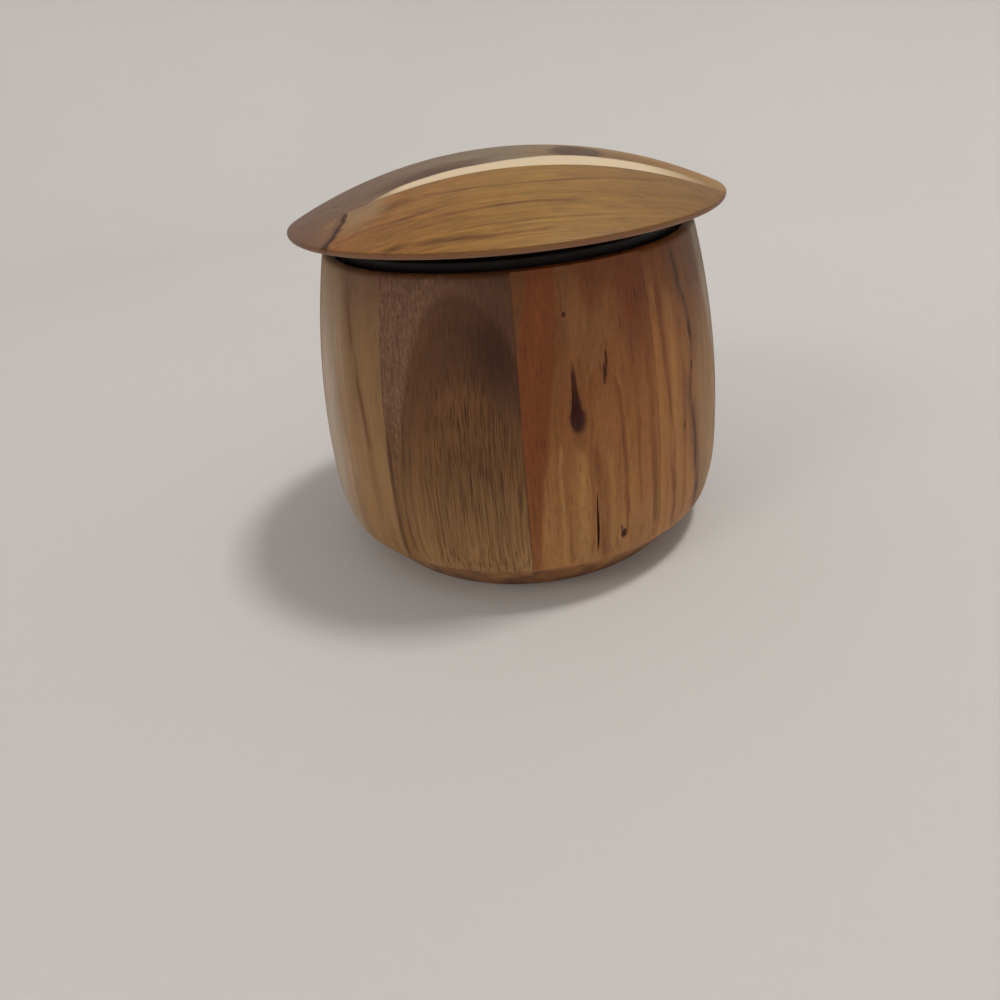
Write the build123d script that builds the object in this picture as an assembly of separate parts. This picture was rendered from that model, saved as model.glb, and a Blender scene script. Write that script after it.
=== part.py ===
from build123d import *
import os

# A turned wooden spice jar with a lift-off lid.
#
# Ten mitred staves are glued into a ring, and the ring is turned to a barrel outside and bored
# inside. A base panel drops in through the mouth and is glued on a ledge. The lid is a domed panel
# that overhangs the rim, with a plug panel glued underneath. A silicone seal sits on the plug's neck
# and grips the mouth.
#
# Millimetres, +Z up. The origin is the centre of the foot, on the surface that the jar stands on.
# One stave joint faces -Y, and the lid's boards run nearly along X.

# ---- jar, outside ----
belly_radius = 60.0
belly_height = 24.0
rim_radius = 51.0
rim_height = 88.0
rim_round = 0.8
turned_edge_height = 11.6
turned_edge_inset = 1.6
foot_bevel_width = 9.6

# ---- jar, inside ----
stave_count = 10
belly_wall = 7.0
rim_wall = 4.2
mouth_depth = 12.0
mouth_lead_in = 2.0
foot_ring_width = 7.8
ledge_width = 3.0
ledge_height = 3.0
base_thickness = 7.0
base_board_width = 30.0

# ---- lid ----
lid_gap = 5.0
lid_overhang = 7.8
lid_edge_thickness = 1.6
lid_under_round = 1.2
dome_rise = 13.3
front_joint_offset = 24.0
back_joint_offset = 17.0
lid_turn = 5.0

# ---- plug under the lid ----
plug_depth = 12.5
plug_clearance = 1.5
plug_flange_thickness = 2.0
plug_bevel = 0.8
neck_depth = 3.3
plug_board_width = 32.0

# ---- silicone seal on the plug's neck ----
seal_clearance = 0.3
seal_body_thickness = 2.2
rib_count = 2
rib_height = 2.9
rib_gap = 1.0
rib_bevel = 0.8
first_rib_drop = 3.3

# ---- places that follow from the sizes above ----
mouth_radius = rim_radius - rim_wall
turned_edge_radius = belly_radius - turned_edge_inset
foot_radius = turned_edge_radius - foot_bevel_width
ledge_radius = foot_radius - foot_ring_width
base_radius = ledge_radius + ledge_width
floor_height = ledge_height + base_thickness
inner_belly_radius = belly_radius - belly_wall
mouth_floor_height = rim_height - mouth_depth

lid_radius = rim_radius + lid_overhang
lid_underside = rim_height + lid_gap
dome_start = lid_underside + lid_edge_thickness
lid_top = dome_start + dome_rise
ball_radius = (lid_radius**2 + dome_rise**2) / (2 * dome_rise)

plug_radius = mouth_radius - plug_clearance
neck_radius = plug_radius - neck_depth
plug_underside = lid_underside - plug_depth
flange_top = plug_underside + plug_flange_thickness

seal_radius = mouth_radius - seal_clearance
seal_body_radius = neck_radius + seal_body_thickness

stave_angle = 360.0 / stave_count
front_azimuth = -90.0


def section(*edges):
    """A closed outline of (radius, height) edges, stood upright in the XZ plane as a face."""
    return Plane.XZ * make_face(edges)


def rounded(face, radius, height, fillet_radius):
    """The upright section with its corner at (radius, height) rounded."""
    corner = face.vertices().sort_by_distance((radius, 0, height))[0]
    return fillet(corner, fillet_radius)


def turned(face):
    """The section turned through a full circle, as on a lathe."""
    return revolve(face, Axis.Z)


def sawn_boards(panel, joints, across):
    """The boards of a glued panel, cut apart on the glue lines at the given distances along across."""
    boards = []
    rest = panel
    for distance in joints:
        glue_line = Plane(origin=across * distance, z_dir=across)
        boards.append(split(rest, bisect_by=glue_line, keep=Keep.BOTTOM))
        rest = split(rest, bisect_by=glue_line, keep=Keep.TOP)
    boards.append(rest)
    return boards


def wall_section():
    """The jar's wall: barrel, undercut foot, ledge for the base, coved floor corner and bored mouth."""
    ledge_corner = (ledge_radius, 0)
    foot_corner = (foot_radius, 0)
    turned_edge = (turned_edge_radius, turned_edge_height)
    belly = (belly_radius, belly_height)
    rim_corner = (rim_radius, rim_height)
    lead_in_top = (mouth_radius + mouth_lead_in, rim_height)
    lead_in_foot = (mouth_radius, rim_height - mouth_lead_in)
    bore_foot = (mouth_radius, mouth_floor_height)
    inner_belly = (inner_belly_radius, belly_height)
    floor_corner = (base_radius, floor_height)
    ledge_back = (base_radius, ledge_height)
    ledge_front = (ledge_radius, ledge_height)
    face = section(
        Line(ledge_corner, foot_corner),
        Line(foot_corner, turned_edge),
        TangentArc(belly, turned_edge, tangent=(0, -1)),
        TangentArc(belly, rim_corner, tangent=(0, 1)),
        Line(rim_corner, lead_in_top),
        Line(lead_in_top, lead_in_foot),
        Line(lead_in_foot, bore_foot),
        TangentArc(inner_belly, bore_foot, tangent=(0, 1)),
        TangentArc(inner_belly, floor_corner, tangent=(0, -1)),
        Line(floor_corner, ledge_back),
        Line(ledge_back, ledge_front),
        Line(ledge_front, ledge_corner),
    )
    return rounded(face, *rim_corner, rim_round)


def make_staves():
    """One stave for each share of the ring, with mitred glue faces that meet on its neighbours'."""
    first = revolve(wall_section(), Axis.Z, stave_angle)
    return [Rot(0, 0, front_azimuth + index * stave_angle) * first for index in range(stave_count)]


def make_base_boards():
    """The round base panel, dropped in through the mouth onto the ledge."""
    disc = Pos(0, 0, ledge_height) * Cylinder(
        base_radius, base_thickness, align=(Align.CENTER, Align.CENTER, Align.MIN)
    )
    half = base_board_width / 2
    return sawn_boards(disc, [-half, half], Vector(1, 0, 0))


def make_lid_boards():
    """The domed lid panel: a disc under a shallow ball cap, with its lower edge rounded."""
    blank_height = lid_top - lid_underside
    blank = Pos(0, 0, lid_underside) * Cylinder(
        lid_radius, blank_height, align=(Align.CENTER, Align.CENTER, Align.MIN)
    )
    # The ball lies on its side, so that neither of its poles falls on the dome.
    ball = Pos(0, 0, lid_top - ball_radius) * Rot(90, 0, 0) * Sphere(ball_radius)
    panel = blank & ball
    under_edge = panel.edges().filter_by(GeomType.CIRCLE).sort_by(Axis.Z)[0]
    panel = fillet(under_edge, lid_under_round)
    boards = sawn_boards(panel, [-front_joint_offset, back_joint_offset], Vector(0, 1, 0))
    return [Rot(0, 0, lid_turn) * board for board in boards]


def make_plug_boards():
    """The plug panel: a neck for the seal and a flange that keeps it on, laid across the lid's grain."""
    centre = (0, plug_underside)
    bevel_inner = (plug_radius - plug_bevel, plug_underside)
    bevel_outer = (plug_radius, plug_underside + plug_bevel)
    flange_edge = (plug_radius, flange_top)
    neck_foot = (neck_radius, flange_top)
    neck_top = (neck_radius, lid_underside)
    glue_centre = (0, lid_underside)
    outline = Polyline(
        centre, bevel_inner, bevel_outer, flange_edge, neck_foot, neck_top, glue_centre, close=True
    )
    half = plug_board_width / 2
    boards = sawn_boards(turned(section(outline)), [-half, half], Vector(1, 0, 0))
    return [Rot(0, 0, lid_turn) * board for board in boards]


def make_seal():
    """The silicone seal: a sleeve on the neck, with bevelled ribs that press on the mouth's bore."""
    sleeve = Polyline(
        (neck_radius, flange_top),
        (seal_body_radius, flange_top),
        (seal_body_radius, lid_underside),
        (neck_radius, lid_underside),
        close=True,
    )
    seal = turned(section(sleeve))
    for index in range(rib_count):
        rib_top = lid_underside - first_rib_drop - index * (rib_height + rib_gap)
        rib_foot = rib_top - rib_height
        rib = Polyline(
            (neck_radius, rib_foot),
            (seal_radius - rib_bevel, rib_foot),
            (seal_radius, rib_foot + rib_bevel),
            (seal_radius, rib_top - rib_bevel),
            (seal_radius - rib_bevel, rib_top),
            (neck_radius, rib_top),
            close=True,
        )
        seal += turned(section(rib))
    return seal


def save(node, solid):
    """Write one piece as parts/NODE.step."""
    export_step(solid, os.path.join("parts", node + ".step"))


os.makedirs("parts", exist_ok=True)

for number, stave in enumerate(make_staves(), start=1):
    save(f"stave_{number:02d}", stave)

for name, board in zip(["left", "middle", "right"], make_base_boards()):
    save("base_board_" + name, board)

for name, board in zip(["front", "middle", "back"], make_lid_boards()):
    save("lid_board_" + name, board)

for name, board in zip(["left", "middle", "right"], make_plug_boards()):
    save("plug_board_" + name, board)

save("seal_ring", make_seal())
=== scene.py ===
# %% [markdown]
# # A turned spice jar of glued acacia
#
# The jar's wall is ten mitred staves, glued into a ring and turned on a lathe. Its lid is a panel of
# three boards, turned to a shallow dome, with a plug panel glued underneath and a silicone seal round
# the plug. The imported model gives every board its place, its size and the body that it moves with.
# Its meshes are loose triangles, made for measuring. Here each board is turned once more with a fine,
# even mesh, because a satin surface shows every facet, and then it gets a grain of its own.

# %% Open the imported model
import math

import bmesh
import bpy
from mathutils import Matrix, Vector


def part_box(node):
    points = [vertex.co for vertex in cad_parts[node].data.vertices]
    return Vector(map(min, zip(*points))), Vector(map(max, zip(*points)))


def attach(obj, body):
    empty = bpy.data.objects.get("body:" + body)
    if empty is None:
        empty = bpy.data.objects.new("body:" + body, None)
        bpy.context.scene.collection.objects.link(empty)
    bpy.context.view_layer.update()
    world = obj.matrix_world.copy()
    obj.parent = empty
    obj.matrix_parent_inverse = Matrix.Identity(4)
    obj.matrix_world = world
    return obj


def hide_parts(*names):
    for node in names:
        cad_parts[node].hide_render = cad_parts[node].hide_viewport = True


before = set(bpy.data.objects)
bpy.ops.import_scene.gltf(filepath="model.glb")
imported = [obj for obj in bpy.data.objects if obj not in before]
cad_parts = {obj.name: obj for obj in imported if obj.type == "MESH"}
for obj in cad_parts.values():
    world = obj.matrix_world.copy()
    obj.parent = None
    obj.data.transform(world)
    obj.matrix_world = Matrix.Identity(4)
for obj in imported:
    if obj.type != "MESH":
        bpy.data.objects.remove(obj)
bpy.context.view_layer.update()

# %% [markdown]
# ## Sizes
#
# Blender works in metres here, and a woodturner works in millimetres, so lengths are written in
# millimetres and turned into metres where a point is made. The overall sizes are read from the packed
# boards, so that a new board covers the old one exactly. The rest are the turner's own measures.

# %% Read the jar's and the lid's overall sizes
MM = 0.001

STAVES = [f"stave_{number:02d}" for number in range(1, 11)]
BASE_BOARDS = ["base_board_left", "base_board_middle", "base_board_right"]
LID_BOARDS = ["lid_board_front", "lid_board_middle", "lid_board_back"]
PLUG_BOARDS = ["plug_board_left", "plug_board_middle", "plug_board_right"]


def reach(names):
    """The lowest and highest height and the greatest radius of some packed boards, in millimetres."""
    boxes = [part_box(name) for name in names]
    lowest = min(low.z for low, high in boxes)
    highest = max(high.z for low, high in boxes)
    widest = max(max(-low.x, high.x) for low, high in boxes)
    return lowest / MM, highest / MM, widest / MM


foot_height, rim_height, belly_radius = reach(STAVES)
base_bottom, base_top, base_radius = reach(BASE_BOARDS)
lid_bottom, lid_top, lid_radius = reach(LID_BOARDS)
plug_bottom, plug_top, plug_radius = reach(PLUG_BOARDS)
seal_bottom, seal_top, seal_radius = reach(["seal_ring"])
print(f"The jar is {2 * belly_radius:.1f} mm across and {rim_height:.1f} mm tall,")
print(f"and the lid is {2 * lid_radius:.1f} mm across, its crown at {lid_top:.1f} mm")

# %% [markdown]
# ## Drawing a section
#
# Everything on this jar is turned, so everything starts as an upright section, half of the outline that
# a saw cut through the axis would show. Typing in the points of its curves would be slow and would bake
# the curve's fineness in. A pen that draws straight edges, and arcs by spinning its own tip about a
# centre, keeps a section down to its real corners. Each corner can then be eased with a vertex bevel.

# %% A pen for sections
EASE_SEGMENTS = 4


class Pen:
    """Draws an upright section in millimetres of radius and height."""

    def __init__(self, radius, height):
        self.mesh = bmesh.new()
        self.start = self.corner(radius, height)
        self.tip = self.start

    def corner(self, radius, height):
        """A new corner of the section."""
        return self.mesh.verts.new((radius * MM, 0, height * MM))

    def line(self, radius, height):
        """A straight edge from the tip to a new corner."""
        end = self.corner(radius, height)
        self.mesh.edges.new((self.tip, end))
        self.tip = end
        return end

    def arc(self, centre_radius, centre_height, degrees, steps):
        """An arc from the tip about a centre, turning from the axis side towards up."""
        spun = bmesh.ops.spin(
            self.mesh,
            geom=[self.tip],
            cent=(centre_radius * MM, 0, centre_height * MM),
            axis=(0, -1, 0),
            angle=math.radians(degrees),
            steps=steps,
            use_merge=False,
            use_duplicate=False,
        )
        self.tip = next(item for item in spun["geom_last"] if isinstance(item, bmesh.types.BMVert))
        return self.tip

    def close(self, face=True):
        """The last edge, back to the first corner, and the section's face where the turning needs one."""
        self.mesh.edges.new((self.tip, self.start))
        if face:
            bmesh.ops.contextual_create(self.mesh, geom=self.mesh.edges[:])

    def ease(self, radius, *corners):
        """Rounds corners of the section, as a turner does with a strip of abrasive."""
        bmesh.ops.bevel(
            self.mesh,
            geom=list(corners),
            offset=radius * MM,
            offset_type="OFFSET",
            segments=EASE_SEGMENTS,
            profile=0.5,
            affect="VERTICES",
            material=-1,
        )


print("The pen is ready")

# %% [markdown]
# ## From a section to a piece
#
# A section becomes a piece in one of two ways. A stave is a wedge of the ring, so its section is spun
# through one share of the circle, and the two ends of the spin are its mitres. A panel is turned whole
# and then sawn along its glue lines. The real one is glued first and turned after that, but this order
# leaves each board with exactly its share of the round. Smooth shading would smear across the real
# edges, so every edge sharper than a threshold is marked sharp.

# %% Turn, saw and finish
FULL_TURN = 360
SHARP_ANGLE = math.radians(32)

# In millimetres: points this close are one point, and points this close to a cut lie on it.
SAME_POINT = 0.001
ON_THE_CUT = 0.0001

pieces = {}


def turn(mesh, degrees, steps):
    """Spins a section about the jar's axis."""
    bmesh.ops.spin(
        mesh,
        geom=[*mesh.verts, *mesh.edges, *mesh.faces],
        cent=(0, 0, 0),
        axis=(0, 0, 1),
        angle=math.radians(degrees),
        steps=steps,
        use_merge=degrees == FULL_TURN,
        use_duplicate=False,
    )
    bmesh.ops.remove_doubles(mesh, verts=mesh.verts[:], dist=SAME_POINT * MM)
    bmesh.ops.recalc_face_normals(mesh, faces=mesh.faces[:])
    return mesh


def saw(mesh, distance, direction, keep_beyond):
    """Cuts a piece along a glue line at some distance along a direction, and closes the cut."""
    bmesh.ops.bisect_plane(
        mesh,
        geom=[*mesh.verts, *mesh.edges, *mesh.faces],
        dist=ON_THE_CUT * MM,
        plane_co=direction * distance * MM,
        plane_no=direction,
        clear_inner=keep_beyond,
        clear_outer=not keep_beyond,
    )
    bmesh.ops.holes_fill(mesh, edges=[edge for edge in mesh.edges if edge.is_boundary], sides=0)
    bmesh.ops.recalc_face_normals(mesh, faces=mesh.faces[:])


def smooth_object(name, mesh):
    """Puts a finished mesh into the scene as a smooth object."""
    data = bpy.data.meshes.new(name)
    mesh.to_mesh(data)
    mesh.free()
    data.shade_smooth()
    made = bpy.data.objects.new(name, data)
    bpy.context.scene.collection.objects.link(made)
    return made


def finish_piece(node, way_made, mesh, body):
    """Makes the finished piece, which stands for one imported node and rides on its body."""
    many_sided = [face for face in mesh.faces if len(face.verts) > 4]
    bmesh.ops.triangulate(mesh, faces=many_sided)
    open_edges = sum(edge.is_boundary for edge in mesh.edges)
    piece = smooth_object(f"{node}_{way_made}", mesh)
    piece.data.set_sharp_from_angle(angle=SHARP_ANGLE)
    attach(piece, body)
    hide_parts(node)
    pieces[node] = piece
    print(f"{piece.name}: {len(piece.data.polygons)} faces, {open_edges} open edges")


print(f"Edges sharper than {math.degrees(SHARP_ANGLE):.0f} degrees will stay crisp")

# %% [markdown]
# ## The jar's wall
#
# The outside is two arcs that meet at the belly, the fullest part: a long one up to the rim and a short
# one down to the turned edge, below which the foot is cut back in a cone. The inside follows it, with a
# straight bore at the mouth for the seal and a small lead-in that guides the seal home. Both arcs have
# their centre at belly height, so they run into each other without a bump. Given an arc's rise and how
# far it falls back, its radius follows from Pythagoras.

# %% Draw the wall's section
belly_height = 24.0
rim_radius = 51.0
turned_edge_radius = 58.4
turned_edge_height = 11.6
foot_radius = 48.8
inner_belly_radius = 53.0
mouth_radius = 46.8
mouth_floor_height = 76.0
mouth_lead_in = 2.0
ledge_radius = 41.0

rim_ease = 1.3
lead_in_ease = 0.5
turned_edge_ease = 0.35
foot_ease = 0.5

LOWER_ARC_STEPS = 8
BORE_STEPS = 26
COVE_STEPS = 14


def arc_size(rise, fall_back):
    """The radius of an arc that leaves its level upright, and the angle that it covers in degrees."""
    radius = (rise**2 + fall_back**2) / (2 * fall_back)
    return radius, math.degrees(math.asin(rise / radius))


def wall_section(upper_steps):
    """The wall's section, with its handled corners eased."""
    upper, upper_angle = arc_size(rim_height - belly_height, belly_radius - rim_radius)
    lower, lower_angle = arc_size(belly_height - turned_edge_height, belly_radius - turned_edge_radius)
    bore, bore_angle = arc_size(mouth_floor_height - belly_height, inner_belly_radius - mouth_radius)
    cove, cove_angle = arc_size(belly_height - base_top, inner_belly_radius - base_radius)
    pen = Pen(ledge_radius, foot_height)
    foot_corner = pen.line(foot_radius, foot_height)
    turned_edge = pen.line(turned_edge_radius, turned_edge_height)
    pen.arc(belly_radius - lower, belly_height, lower_angle, LOWER_ARC_STEPS)
    rim_corner = pen.arc(belly_radius - upper, belly_height, upper_angle, upper_steps)
    lead_in_top = pen.line(mouth_radius + mouth_lead_in, rim_height)
    lead_in_foot = pen.line(mouth_radius, rim_height - mouth_lead_in)
    pen.line(mouth_radius, mouth_floor_height)
    pen.arc(inner_belly_radius - bore, belly_height, -bore_angle, BORE_STEPS)
    pen.arc(inner_belly_radius - cove, belly_height, -cove_angle, COVE_STEPS)
    pen.line(base_radius, base_bottom)
    pen.line(ledge_radius, base_bottom)
    pen.close()
    pen.ease(rim_ease, rim_corner)
    pen.ease(lead_in_ease, lead_in_top, lead_in_foot)
    pen.ease(turned_edge_ease, turned_edge)
    pen.ease(foot_ease, foot_corner)
    return pen.mesh


long_arc, long_arc_angle = arc_size(rim_height - belly_height, belly_radius - rim_radius)
print(f"The long arc has a radius of {long_arc:.0f} mm and covers {long_arc_angle:.0f} degrees")

# %% [markdown]
# ## The staves
#
# Ten staves share the circle, so each one covers 36 degrees. The front joint faces the viewer, and the
# staves are numbered to the right from it. One stave has a teardrop knot, pin knots and a drying check.
# Bump alone would leave them flat in outline, and boolean cutters would leave a ragged mesh, so they are
# sunk: that stave gets a mesh fine enough to hold them, and its face is pushed in under a few ovals. The
# ovals are kept in a list, because the stave's finish darkens the same places.

# %% Turn the staves
FRONT = -90.0
STAVE_ANGLE = FULL_TURN / len(STAVES)

# How finely a stave is turned, from belly to rim and from mitre to mitre, without knots and with them.
PLAIN_STEPS = (44, 36)
KNOTTED_STEPS = (256, 144)

# Each oval: degrees from the front joint, height, half width in degrees, half height and depth.
KNOT_OVALS = [
    (13.4, 53.4, 1.9, 3.3, 0.45),
    (13.35, 56.0, 1.3, 4.4, 0.40),
    (13.2, 60.0, 0.65, 6.2, 0.35),
    (12.3, 77.8, 0.45, 0.5, 0.25),
    (21.9, 66.4, 0.25, 2.2, 0.25),
    (21.3, 63.8, 0.45, 1.9, 0.30),
    (20.9, 61.8, 0.25, 1.3, 0.20),
    (24.5, 18.7, 0.85, 1.5, 0.35),
    (23.7, 20.8, 0.25, 1.1, 0.20),
    (17.2, 21.5, 0.26, 6.0, 0.50),
    (17.1, 27.0, 0.17, 6.0, 0.40),
]

# In half widths from an oval's middle: where the hollow starts, and how far its slope runs in from there.
HOLLOW_REACH = 1.3
HOLLOW_SLOPE = 0.6

# What lies more than this outside the bore's fullest part, in millimetres, can only be the jar's face.
FACE_MARGIN = 0.05


def sink(mesh, ovals):
    """Sinks ovals, given by side, height, half width, half height and depth, into a stave's face."""
    inside = (inner_belly_radius + FACE_MARGIN) * MM
    for vertex in [vertex for vertex in mesh.verts if vertex.co.xy.length > inside]:
        side = math.degrees(math.atan2(vertex.co.y, vertex.co.x)) - FRONT
        for oval_side, oval_height, half_width, half_height, depth in ovals:
            aside = (side - oval_side) / half_width
            ahead = (vertex.co.z / MM - oval_height) / half_height
            reach_in = HOLLOW_REACH - math.hypot(aside, ahead)
            if reach_in > 0:
                sunk = depth * min(1.0, reach_in / HOLLOW_SLOPE) * MM
                shrunk = 1 - sunk / vertex.co.xy.length
                vertex.co.x *= shrunk
                vertex.co.y *= shrunk


for number, name in enumerate(STAVES):
    has_knots = name == "stave_01"
    upper_steps, round_steps = KNOTTED_STEPS if has_knots else PLAIN_STEPS
    stave = turn(wall_section(upper_steps), STAVE_ANGLE, round_steps)
    swing = Matrix.Rotation(math.radians(FRONT + number * STAVE_ANGLE), 3, "Z")
    bmesh.ops.rotate(stave, cent=(0, 0, 0), matrix=swing, verts=stave.verts[:])
    if has_knots:
        sink(stave, KNOT_OVALS)
    finish_piece(name, "turned", stave, "jar")

# %% [markdown]
# ## The base, the lid and the plug
#
# The other panels are turned whole. A panel's section ends on the axis, so it is drawn as an open line
# from the middle of its underside to the middle of its top, and the spin closes it. The lid's dome is
# part of a ball, and the lid's edge is eased well underneath, where fingers lift it.

# %% Turn the panels and saw their boards
base_joint = 15.0
lid_front_joint = -24.0
lid_back_joint = 17.0
lid_edge_top = 94.6
lid_under_ease = 1.2
lid_top_ease = 0.3
plug_joint = 16.0
plug_flange_top = 82.5
plug_bevel = 0.8
plug_ease = 0.2
neck_radius = 42.0

LID_TURN = 5.0
DOME_STEPS = 44
LID_ROUND_STEPS = 216
ROUND_STEPS = 144

lid_turned = Matrix.Rotation(math.radians(LID_TURN), 3, "Z")
lid_along = lid_turned @ Vector((1, 0, 0))
lid_across = lid_turned @ Vector((0, 1, 0))


def base_panel():
    """The round base, a plain disc."""
    pen = Pen(0, base_bottom)
    pen.line(base_radius, base_bottom)
    pen.line(base_radius, base_top)
    pen.line(0, base_top)
    return turn(pen.mesh, FULL_TURN, ROUND_STEPS)


def lid_panel():
    """The lid's domed panel."""
    rise = lid_top - lid_edge_top
    ball = (lid_radius**2 + rise**2) / (2 * rise)
    dome_angle = math.degrees(math.asin(lid_radius / ball))
    pen = Pen(0, lid_bottom)
    under_edge = pen.line(lid_radius, lid_bottom)
    dome_edge = pen.line(lid_radius, lid_edge_top)
    pen.arc(0, lid_top - ball, dome_angle, DOME_STEPS)
    pen.ease(lid_under_ease, under_edge)
    pen.ease(lid_top_ease, dome_edge)
    return turn(pen.mesh, FULL_TURN, LID_ROUND_STEPS)


def plug_panel():
    """The plug, with a bevelled flange below the neck that the seal sits on."""
    pen = Pen(0, plug_bottom)
    bevel_inner = pen.line(plug_radius - plug_bevel, plug_bottom)
    bevel_outer = pen.line(plug_radius, plug_bottom + plug_bevel)
    pen.line(plug_radius, plug_flange_top)
    pen.line(neck_radius, plug_flange_top)
    pen.line(neck_radius, plug_top)
    pen.line(0, plug_top)
    pen.ease(plug_ease, bevel_inner, bevel_outer)
    return turn(pen.mesh, FULL_TURN, ROUND_STEPS)


def saw_boards(panel, body, direction, joints, slots):
    """Turns a panel once for each of its three boards, and saws off what lies past the board's joints."""
    low, high = joints
    cuts = [[(low, False)], [(low, True), (high, False)], [(high, True)]]
    for (name, slot), board_cuts in zip(slots.items(), cuts):
        board = panel()
        for distance, keep_beyond in board_cuts:
            saw(board, distance, direction, keep_beyond)
        finish_piece(name, "turned", board, body)


base_slots = dict(zip(BASE_BOARDS, ["acacia_golden", "acacia_red_brown", "acacia_dark"]))
lid_slots = dict(zip(LID_BOARDS, ["acacia_lid_front", "acacia_lid_back", "acacia_golden"]))
plug_slots = dict(zip(PLUG_BOARDS, ["acacia_golden", "acacia_orange", "acacia_golden"]))
saw_boards(base_panel, "jar", Vector((1, 0, 0)), (-base_joint, base_joint), base_slots)
saw_boards(lid_panel, "lid", lid_across, (lid_front_joint, lid_back_joint), lid_slots)
saw_boards(plug_panel, "lid", lid_along, (-plug_joint, plug_joint), plug_slots)

# %% [markdown]
# ## The seal
#
# The seal is one moulded ring of black silicone: a sleeve on the plug's neck with two ribs, which the
# mouth squeezes when the lid is pressed home. Its section closes on itself, so the whole turn makes a
# ring with no seam. Moulded silicone has no sharp edges, so the ribs' tips are rounded.

# %% Turn the seal
sleeve_radius = 44.2
rib_tops = [85.8, 89.7]
rib_thickness = 2.9
rib_ease = 0.5
rib_root_ease = 0.3
SEAL_STEPS = 180


def seal_section():
    """The sleeve and its ribs, drawn from the inside foot round to the inside top."""
    pen = Pen(neck_radius, seal_bottom)
    pen.line(sleeve_radius, seal_bottom)
    tips = []
    roots = []
    for rib_top in rib_tops:
        roots.append(pen.line(sleeve_radius, rib_top - rib_thickness))
        tips.append(pen.line(seal_radius, rib_top - rib_thickness))
        tips.append(pen.line(seal_radius, rib_top))
        roots.append(pen.line(sleeve_radius, rib_top))
    pen.line(sleeve_radius, seal_top)
    pen.line(neck_radius, seal_top)
    pen.close(face=False)
    pen.ease(rib_ease, *tips)
    pen.ease(rib_root_ease, *roots[1:])
    return pen.mesh


finish_piece("seal_ring", "moulded", turn(seal_section(), FULL_TURN, SEAL_STEPS), "lid")

# %% [markdown]
# ## Wiring a finish
#
# A procedural finish is a network of small nodes. Wired by hand in the editor it is easy to follow, but
# in a script each node takes five lines. A small class with a method for each kind of node keeps every
# finish readable, like a sum on paper: a method takes numbers or other nodes' outputs, and returns its
# own output.


# %% A network that does sums
class Network:
    """A material's network of nodes, and the sums that it works out."""

    def __init__(self, name):
        self.material = bpy.data.materials.new(name)
        self.material.use_nodes = True
        self.tree = self.material.node_tree
        self.shader = self.tree.nodes["Principled BSDF"]
        self.place = self.node("ShaderNodeTexCoord").outputs["Object"]

    def node(self, kind, **settings):
        """A new node with some of its settings changed."""
        made = self.tree.nodes.new(kind)
        for setting, value in settings.items():
            setattr(made, setting, value)
        return made

    def feed(self, socket, value):
        """Gives a socket a number, a vector, a colour or another node's output."""
        if isinstance(value, bpy.types.NodeSocket):
            self.tree.links.new(value, socket)
        elif socket.type == "RGBA":
            socket.default_value = (*value, 1.0)
        else:
            socket.default_value = value

    def work_out(self, kind, values, **settings):
        """The first output of a new node whose inputs are fed in their order."""
        made = self.node(kind, **settings)
        for socket, value in zip(made.inputs, values):
            self.feed(socket, value)
        return made.outputs[0]

    def math(self, operation, *values):
        """A sum on numbers, such as ADD or MULTIPLY."""
        return self.work_out("ShaderNodeMath", values, operation=operation)

    def minus(self, value, other):
        """One number less another."""
        return self.math("SUBTRACT", value, other)

    def apart(self, value, other):
        """How far apart two numbers are."""
        return self.math("ABSOLUTE", self.minus(value, other))

    def times(self, value, *others):
        """The product of some numbers, so that a share holds only where the others do."""
        for other in others:
            value = self.math("MULTIPLY", value, other)
        return value

    def hypotenuse(self, one_side, other_side):
        """The length of a right triangle's long side."""
        squares = self.math("ADD", self.times(one_side, one_side), self.times(other_side, other_side))
        return self.math("SQRT", squares)

    def stretch(self, vector, scale, shift):
        """A vector, scaled along each axis and then shifted."""
        return self.work_out("ShaderNodeVectorMath", (vector, scale, shift), operation="MULTIPLY_ADD")

    def combine(self, x, y, z):
        """A vector from three numbers."""
        return self.work_out("ShaderNodeCombineXYZ", (x, y, z))


print("A network can do sums")

# %% A kit for finishes
# A Mix node has sockets of the same names for every kind of data, so its colour sockets go by number.
MIX_SHARE, MIX_UNDER, MIX_OVER, MIX_COLOUR = 0, 6, 7, 2


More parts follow.
